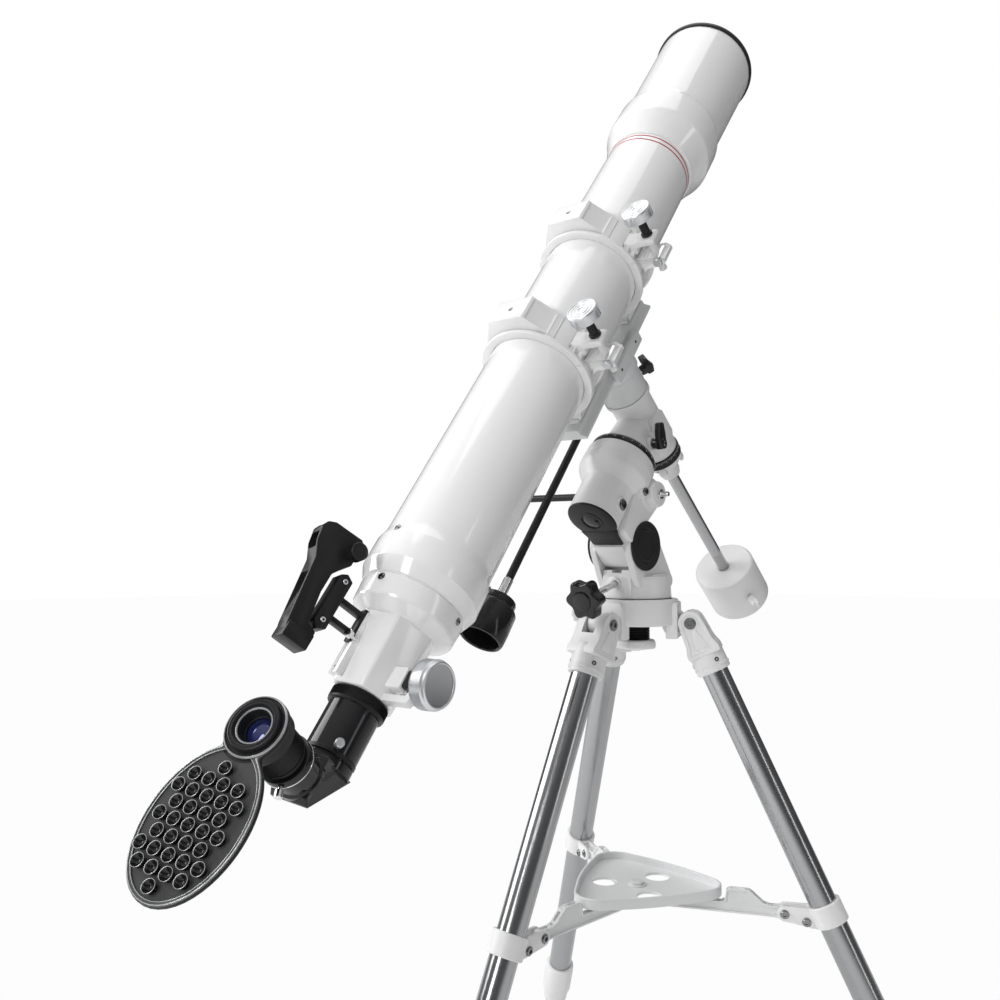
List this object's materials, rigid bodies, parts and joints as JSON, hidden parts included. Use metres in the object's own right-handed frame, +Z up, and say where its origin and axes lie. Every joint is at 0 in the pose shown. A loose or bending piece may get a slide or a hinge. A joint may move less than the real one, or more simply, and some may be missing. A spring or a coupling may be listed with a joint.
{
  "type": "telescope on tripod",
  "caption": "Refracting telescope in cradle rings on an equatorial mount with counterweight and slow-motion controls, on a folding steel tripod with a tray.",
  "frame": {"origin": "middle of the whole object's box, on the floor", "axes": "+Z up, +Y along the mount's meridian towards the pole the polar axis points at, +X to the side of the ring clamps"},
  "size_m": [0.7068, 1.0586, 1.5534],
  "materials": {
    "white_enamel": "gloss white enamel",
    "iron_enamel": "satin white enamel on cast iron",
    "grey_enamel": "satin light grey enamel",
    "white_cast": "satin white enamel on castings",
    "black_metal": "satin black",
    "steel": "polished stainless steel tube",
    "chrome": "bright plated",
    "silver": "turned aluminium",
    "black_plastic": "gloss black plastic",
    "matte_black": "matt black plastic",
    "rubber": "black rubber",
    "grey_plastic": "light grey plastic",
    "glass": "coated optical glass"
  },
  "bodies": {
    "head": {"tripod_head": "white_cast", "hinge_bolts": "chrome"},
    "leg_front": {"leg_tube_front": "steel", "leg_fittings_front": "white_cast"},
    "lower_front": {"lower_leg_front": "steel"},
    "arm_front": {"spreader_arm_front": "grey_plastic"},
    "leg_right": {"leg_tube_right": "steel", "leg_fittings_right": "white_cast"},
    "lower_right": {"lower_leg_right": "steel"},
    "arm_right": {"spreader_arm_right": "grey_plastic"},
    "leg_back": {"leg_tube_back": "steel", "leg_fittings_back": "white_cast"},
    "lower_back": {"lower_leg_back": "steel"},
    "arm_back": {"spreader_arm_back": "grey_plastic"},
    "tray_lifter": {"tray_hub": "grey_plastic"},
    "tray_dish": {"tray": "grey_plastic"},
    "azimuth_knob": {"azimuth_lock_knob": "white_cast"},
    "azimuth_clamp": {"azimuth_screw": "grey_plastic"},
    "base": {"mount_base": "white_cast", "latitude_pivot": "black_plastic", "azimuth_bolt": "chrome"},
    "tilt_screw": {"latitude_screw": "black_plastic"},
    "polar": {"polar_housing": "white_cast", "polar_cap": "matte_black"},
    "polar_dial": {"polar_circle": "matte_black"},
    "polar_drive": {"polar_worm_shaft": "chrome", "polar_control": "black_plastic"},
    "declination": {"dec_housing": "white_cast", "counterweight_shaft": "chrome"},
    "polar_lever": {"polar_lock_lever": "black_plastic"},
    "dec_dial": {"dec_circle": "matte_black"},
    "weight": {"counterweight": "iron_enamel"},
    "weight_screw": {"counterweight_screw": "silver"},
    "dec_drive": {"dec_worm_shaft": "chrome", "dec_control": "black_plastic"},
    "saddle": {"dec_saddle": "grey_enamel"},
    "dec_lever": {"dec_lock_lever": "black_plastic"},
    "cradle": {"dovetail_bar": "grey_enamel", "ring_lower_front": "white_cast", "ring_lower_rear": "white_cast"},
    "ring_top_front": {"ring_upper_front": "white_cast"},
    "ring_knob_front": {"ring_clamp_front": "silver"},
    "ring_top_rear": {"ring_upper_rear": "white_cast"},
    "ring_knob_rear": {"ring_clamp_rear": "silver"},
    "telescope": {"main_tube": "white_enamel", "dew_shield": "white_enamel", "lens_cell": "black_metal", "objective_lens": "glass", "rear_cell": "white_enamel", "focuser_body": "white_cast", "finder_bracket": "matte_black", "finder_sight": "matte_black"},
    "wheel": {"focus_wheel": "silver"},
    "focus": {"drawtube": "black_metal", "drawtube_ring": "black_metal"},
    "diagonal": {"star_diagonal": "black_plastic"},
    "ocular": {"eyepiece": "black_plastic"},
    "holder": {"phone_plate": "matte_black", "suction_cups": "rubber"},
    "finder_dial": {"finder_knob": "matte_black"}
  },
  "joints": [
    {"name": "leg_fold_front", "type": "hinge", "parent": "head", "child": "leg_front", "pos_m": [-0.02238, 0.11801, 0.69427], "axis": [0.9965, -0.0837, 0], "range_deg": [0, 15]},
    {"name": "leg_extend_front", "type": "slide", "parent": "leg_front", "child": "lower_front", "axis": [-0.035, -0.4164, -0.9085], "range_m": [0, 0.3]},
    {"name": "arm_fold_front", "type": "hinge", "parent": "leg_front", "child": "arm_front", "pos_m": [-0.03157, 0.00852, 0.34194], "axis": [0.9965, -0.0837, 0], "range_deg": [0, 49.5]},
    {"name": "leg_fold_right", "type": "hinge", "parent": "head", "child": "leg_right", "pos_m": [0.04879, 0.22041, 0.69427], "axis": [-0.4258, 0.9048, 0], "range_deg": [0, 15]},
    {"name": "leg_extend_right", "type": "slide", "parent": "leg_right", "child": "lower_right", "axis": [0.3781, 0.1779, -0.9085], "range_m": [0, 0.3]},
    {"name": "arm_fold_right", "type": "hinge", "parent": "leg_right", "child": "arm_right", "pos_m": [0.14821, 0.2672, 0.34194], "axis": [-0.4258, 0.9048, 0], "range_deg": [0, 49.5]},
    {"name": "leg_fold_back", "type": "hinge", "parent": "head", "child": "leg_back", "pos_m": [-0.07548, 0.23085, 0.69427], "axis": [-0.5707, -0.8211, 0], "range_deg": [0, 15]},
    {"name": "leg_extend_back", "type": "slide", "parent": "leg_back", "child": "lower_back", "axis": [-0.3431, 0.2385, -0.9085], "range_m": [0, 0.3]},
    {"name": "arm_fold_back", "type": "hinge", "parent": "leg_back", "child": "arm_back", "pos_m": [-0.1657, 0.29356, 0.34194], "axis": [-0.5707, -0.8211, 0], "range_deg": [0, 49.5]},
    {"name": "tray_lift", "type": "slide", "parent": "head", "child": "tray_lifter", "axis": [0, 0, 1], "range_m": [0, 0.1471]},
    {"name": "tray_twist", "type": "hinge", "parent": "tray_lifter", "child": "tray_dish", "pos_m": [-0.01636, 0.18976, 0.35426], "axis": [0, 0, 1], "range_deg": [0, 60]},
    {"name": "azimuth_turn", "type": "hinge", "parent": "head", "child": "base", "pos_m": [-0.01636, 0.18976, 0.72427], "axis": [0, 0, 1], "range_deg": [-12, 12]},
    {"name": "azimuth_knob_spin", "type": "hinge", "parent": "base", "child": "azimuth_knob", "pos_m": [-0.01636, 0.18976, 0.66426], "axis": [0, 0, 1], "continuous": true},
    {"name": "azimuth_clamp_spin", "type": "hinge", "parent": "head", "child": "azimuth_clamp", "pos_m": [-0.07073, 0.1644, 0.71027], "axis": [-0.9063, -0.4226, 0], "continuous": true},
    {"name": "latitude_tilt", "type": "hinge", "parent": "base", "child": "polar", "pos_m": [-0.01636, 0.16476, 0.79187], "axis": [1, 0, 0], "range_deg": [-25, 15]},
    {"name": "latitude_screw_spin", "type": "hinge", "parent": "base", "child": "tilt_screw", "pos_m": [-0.01636, 0.14836, 0.74486], "axis": [0, -0.9659, -0.2588], "continuous": true},
    {"name": "polar_turn", "type": "hinge", "parent": "polar", "child": "declination", "pos_m": [-0.01636, 0.18976, 0.93637], "axis": [0, 0.6388, 0.7694], "range_deg": [-60, 90]},
    {"name": "polar_dial_turn", "type": "hinge", "parent": "polar", "child": "polar_dial", "pos_m": [-0.01636, 0.1642, 0.90559], "axis": [0, 0.6388, 0.7694], "continuous": true},
    {"name": "polar_worm_spin", "type": "hinge", "parent": "polar", "child": "polar_drive", "pos_m": [-0.01636, 0.17582, 0.85696], "axis": [1, 0, 0], "continuous": true},
    {"name": "polar_lever_turn", "type": "hinge", "parent": "declination", "child": "polar_lever", "pos_m": [0.01962, 0.17927, 0.92167], "axis": [0.9993, 0.0282, -0.0234], "range_deg": [-10, 60]},
    {"name": "dec_turn", "type": "hinge", "parent": "declination", "child": "saddle", "pos_m": [-0.01636, 0.20675, 0.95683], "axis": [0.0366, -0.7689, 0.6383], "continuous": true},
    {"name": "dec_dial_turn", "type": "hinge", "parent": "declination", "child": "dec_dial", "pos_m": [-0.01855, 0.25288, 0.91853], "axis": [0.0366, -0.7689, 0.6383], "continuous": true},
    {"name": "dec_lever_turn", "type": "hinge", "parent": "saddle", "child": "dec_lever", "pos_m": [0.00792, 0.16899, 1.01492], "axis": [0.7273, 0.4586, 0.5106], "range_deg": [-15, 15]},
    {"name": "dec_worm_spin", "type": "hinge", "parent": "saddle", "child": "dec_drive", "pos_m": [-0.044, 0.15669, 0.99682], "axis": [-0.0401, 0.6371, 0.7697], "continuous": true},
    {"name": "weight_slide", "type": "slide", "parent": "declination", "child": "weight", "axis": [0.0366, -0.7689, 0.6383], "range_m": [-0.012, 0.15]},
    {"name": "weight_screw_spin", "type": "hinge", "parent": "weight", "child": "weight_screw", "pos_m": [0.01187, 0.45615, 0.71249], "axis": [0.8186, -0.3433, -0.4605], "continuous": true},
    {"name": "bar_slide", "type": "slide", "parent": "saddle", "child": "cradle", "axis": [-0.0401, 0.6371, 0.7697], "range_m": [-0.03, 0.03]},
    {"name": "ring_open_front", "type": "hinge", "parent": "cradle", "child": "ring_top_front", "pos_m": [-0.08073, 0.09274, 1.14529], "axis": [0.0401, -0.6371, -0.7697], "range_deg": [0, 100]},
    {"name": "ring_knob_spin_front", "type": "hinge", "parent": "ring_top_front", "child": "ring_knob_front", "pos_m": [0.07359, 0.06867, 1.17324], "axis": [0.0366, -0.7689, 0.6383], "continuous": true},
    {"name": "ring_open_rear", "type": "hinge", "parent": "cradle", "child": "ring_top_rear", "pos_m": [-0.07351, -0.02195, 1.00674], "axis": [0.0401, -0.6371, -0.7697], "range_deg": [0, 100]},
    {"name": "ring_knob_spin_rear", "type": "hinge", "parent": "ring_top_rear", "child": "ring_knob_rear", "pos_m": [0.0808, -0.04601, 1.03469], "axis": [0.0366, -0.7689, 0.6383], "continuous": true},
    {"name": "tube_rotate", "type": "hinge", "parent": "cradle", "child": "telescope", "pos_m": [-0.00911, 0.05482, 1.08297], "axis": [-0.0401, 0.6371, 0.7697], "continuous": true},
    {"name": "focus_slide", "type": "slide", "parent": "telescope", "child": "focus", "axis": [0.0401, -0.6371, -0.7697], "range_m": [0, 0.06]},
    {"name": "focus_wheel_spin", "type": "hinge", "parent": "telescope", "child": "wheel", "pos_m": [0.08719, -0.28137, 0.6725], "axis": [0.9985, 0.0538, 0.0075], "range_deg": [0, 572.97]},
    {"name": "diagonal_turn", "type": "hinge", "parent": "focus", "child": "diagonal", "pos_m": [0.01615, -0.34657, 0.59804], "axis": [-0.0401, 0.6371, 0.7697], "continuous": true},
    {"name": "eyepiece_slide", "type": "slide", "parent": "diagonal", "child": "ocular", "axis": [0.2938, -0.7288, 0.6185], "range_m": [0, 0.03]},
    {"name": "holder_turn", "type": "hinge", "parent": "ocular", "child": "holder", "pos_m": [0.04614, -0.429, 0.64835], "axis": [0.2938, -0.7288, 0.6185], "range_deg": [-90, 90]},
    {"name": "finder_knob_spin", "type": "hinge", "parent": "telescope", "child": "finder_dial", "pos_m": [0.00251, -0.29678, 0.78737], "axis": [0.961, -0.1864, 0.2044], "continuous": true}
  ],
  "couplings": [
    {"joint": "arm_fold_front", "follows": "leg_fold_front", "ratio": 3.3},
    {"joint": "leg_fold_right", "follows": "leg_fold_front", "ratio": 1},
    {"joint": "arm_fold_right", "follows": "leg_fold_front", "ratio": 3.3},
    {"joint": "leg_fold_back", "follows": "leg_fold_front", "ratio": 1},
    {"joint": "arm_fold_back", "follows": "leg_fold_front", "ratio": 3.3},
    {"joint": "tray_lift", "follows": "leg_fold_front", "m_per_rad": 0.56},
    {"joint": "tray_twist", "follows": "leg_fold_front", "ratio": 4},
    {"joint": "focus_wheel_spin", "follows": "focus_slide", "rad_per_m": 166.67}
  ]
}
